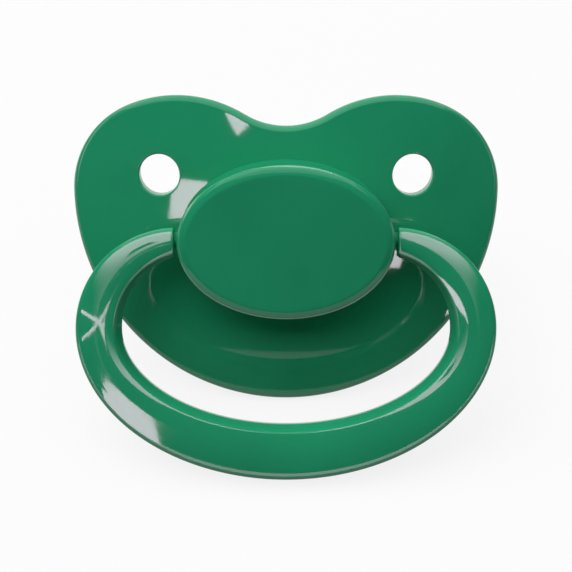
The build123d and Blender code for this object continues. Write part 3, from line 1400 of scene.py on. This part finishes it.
@dataclass
class Studio:
    """The pale floor, the camera, the soft lights and the cards that gleam in the plastic."""

    lens: float = 85.0
    sensor: float = 36.0
    nearest: float = 0.01
    farthest: float = 50.0
    camera_distance: float = 0.210
    camera_height_angle: float = 49.0
    camera_pitch: float = 50.97
    floor_half: float = 6.0
    floor_drop: float = 0.0001
    floor_grey: float = 0.15
    floor_glow: float = 0.845
    floor_roughness: float = 0.9
    grain_scale: float = 900.0
    grain_strength: float = 0.02
    grain_depth: float = 0.0002
    sky_light: float = 0.03
    panels: tuple[LightPanel, ...] = (
        LightPanel("overhead", 180, 76, width=2.2, height=1.9, brightness=1.15),
        LightPanel("key", -108, 62, width=1.2, height=1.2, brightness=1.6, reach=Reach.SHADE),
        LightPanel("back_wall", 180, 22, width=2.4, height=0.8, brightness=1.0, reach=Reach.GLOSS),
    )
    cards: tuple[GleamCard, ...] = (
        GleamCard("wing_window", ((-29.4, 33.4), (-20.5, 34.8), (-19.6, 25.8), (-27.6, 24.8)), Shot.SHIELD),
        GleamCard("notch_window", ((-14.8, 45.5), (-11.6, 48.4), (-16.7, 52.5), (-20.0, 49.6)), Shot.SHIELD),
        GleamCard(
            "far_window", ((26.4, 24.6), (29.5, 23.8), (24.7, 14.9), (22.0, 15.6)), Shot.SHIELD, tint=PALE
        ),
        GleamCard("low_window", ((32.1, 4.4), (34.3, 4.0), (34.6, 1.6), (32.5, 1.7)), Shot.SHIELD, tint=PALE),
        arm_sweep("left_sweep", -1, inner=8, brightness=8.5),
        arm_sweep("right_sweep", 1, inner=11, brightness=7.5),
        GleamCard(
            "foot_window",
            ((-14.5, 34.5), (-5.5, 39), (-10, 31), (-13.5, 22), (-16, 15), (-30, 15), (-22, 28)),
            Shot.RING,
        ),
        cross_seam(
            "seam_rising",
            ((-34, 28.9), (-28.2, 32.8), (-16.9, 37.4), (-3.4, 40.2), (6.7, 39.9), (12.1, 38.9)),
        ),
        cross_seam(
            "seam_falling",
            ((-48, 36.8), (-35.3, 39.6), (-21.6, 40.7), (-3.4, 40.2), (5.7, 38.8), (10.6, 38.4)),
        ),
        rim_line("table_glow", Shot.RING, 4.0, (14, 14), level_line(range(-60, 61, 30), 11)),
        rim_line("rear_glow", Shot.RING, 2.0, (26, 26), level_line(range(140, 221, 20), 28)),
        rim_line(
            "left_line", Shot.SHIELD, 4.0, (9, 7), ((-60, 20), (-87, 24), (-115, 27), (-140, 32), (-166, 41))
        ),
        rim_line(
            "right_line", Shot.SHIELD, 2.5, (8, 7), ((60, 16), (87, 20), (115, 27), (140, 32), (162, 40))
        ),
        rim_line(
            "cap_line",
            Shot.CAP,
            6.0,
            (6, 5),
            ((-105, 5), (-125, 20), (-147, 33), (-165, 42), (-180, 47), (-200, 44), (-220, 35)),
        ),
    )

    def floor(self) -> bpy.types.Object:
        """Lays the floor, which isn't part of the object. It is pale to look at and dim to be lit by.

        Returns:
            The floor.
        """
        mesh = bpy.data.meshes.new("floor")
        half, level = self.floor_half, -self.floor_drop
        corners = [(x * half, y * half, level) for x, y in ((-1, -1), (1, -1), (1, 1), (-1, 1))]
        mesh.from_pydata(corners, [], [(0, 1, 2, 3)])
        floor = shown("floor", mesh)
        nodes = Nodes(bpy.data.materials.new("floor_white"))
        grain = nodes.add("ShaderNodeTexNoise", Scale=self.grain_scale, Detail=2.0).outputs["Fac"]
        white = nodes.add(
            "ShaderNodeBsdfPrincipled",
            Base_Color=(*[self.floor_grey] * 3, 1),
            Roughness=self.floor_roughness,
            Specular_IOR_Level=0.0,
            Emission_Color=(1, 1, 1, 1),
        )
        seen = nodes.add("ShaderNodeLightPath").outputs["Is Diffuse Ray"]
        nodes.finish(
            white,
            Emission_Strength=nodes.spread(seen, To_Min=self.floor_glow, To_Max=0.0),
            Normal=nodes.bump(grain, self.grain_strength, self.grain_depth),
        )
        dress(floor, nodes.owner)
        return floor

    def sky(self) -> None:
        """Hangs a dim even sky for fill, seen as a pale backdrop where the floor ends."""
        world = bpy.data.worlds.new("studio")
        bpy.context.scene.world = world
        nodes = Nodes(world, "ShaderNodeOutputWorld")
        dim = nodes.add("ShaderNodeBackground", Color=(1, 1, 1, 1), Strength=self.sky_light)
        pale = nodes.add("ShaderNodeBackground", Color=(1, 1, 1, 1))
        seen = nodes.add("ShaderNodeLightPath").outputs["Is Camera Ray"]
        nodes.link(seen, pale.inputs["Strength"])
        both = nodes.add("ShaderNodeAddShader")
        nodes.link(dim.outputs["Background"], both.inputs[0])
        nodes.link(pale.outputs["Background"], both.inputs[1])
        nodes.finish(both)

    def camera(self, pivot: Vector) -> None:
        """Sets the camera in front and well above.

        Args:
            pivot: The middle of the ring's hinge, in metres.
        """
        angle, pitch = math.radians(self.camera_height_angle), math.radians(self.camera_pitch)
        data = bpy.data.cameras.new("camera")
        data.lens, data.sensor_width = self.lens, self.sensor
        data.clip_start, data.clip_end = self.nearest, self.farthest
        camera = shown("camera", data)
        camera.location = pivot + Vector((0, -math.cos(angle), math.sin(angle))) * self.camera_distance
        look = Vector((0, math.cos(pitch), -math.sin(pitch)))
        camera.rotation_mode = "QUATERNION"
        camera.rotation_quaternion = look.to_track_quat("-Z", "Y")
        bpy.context.scene.camera = camera

    def build(self, pivot: Vector, pieces: dict[Shot, bpy.types.Object]) -> None:
        """Sets up the whole studio round the pivot.

        Args:
            pivot: The middle of the ring's hinge, in metres.
            pieces: The piece made in each shot.
        """
        self.floor()
        self.sky()
        self.camera(pivot)
        for panel in self.panels:
            panel.hang(pivot)
        for card in self.cards:
            card.hang(pivot, pieces)
        bpy.context.scene.view_settings.view_transform = "Standard"


# ---------------------------------------------------------------- the whole pacifier


def main() -> None:
    """Builds every piece in order, dresses it and reports it."""
    logging.basicConfig(level=logging.INFO, format="%(name)s: %(message)s")
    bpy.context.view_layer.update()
    front, swing = shield_place(), ring_place()
    green, silicone = MouldedGreen(), ClearSilicone()

    made = [
        (Shield().build(front), green.made(Shot.SHIELD), Body.SOOTHER, "shield", "shield_plastic"),
        (Teat().build(front), silicone.made(), Body.SOOTHER, "teat", "silicone"),
        (Cap().build(front), green.made(Shot.CAP), Body.SOOTHER, "cap", "cap_plastic"),
        (RingHandle().build(swing), green.made(Shot.RING), Body.RING, "ring", "ring_plastic"),
    ]
    for piece, material, body, node, slot in made:
        dress(piece, material)
        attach(piece, body.value)
        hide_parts(node)
        log.info("%s rides on %s, %d faces", piece.name, body.value, len(piece.data.polygons))
    dress(frame["nodes"]["knob"], green.made(Shot.KNOB))
    log.info("knob keeps its packed shape")

    shots = {Shot.SHIELD: made[0][0], Shot.CAP: made[2][0], Shot.RING: made[3][0]}
    Studio().build(front.origin, shots)
    log.info("studio ready")


if __name__ == "__main__":
    main()
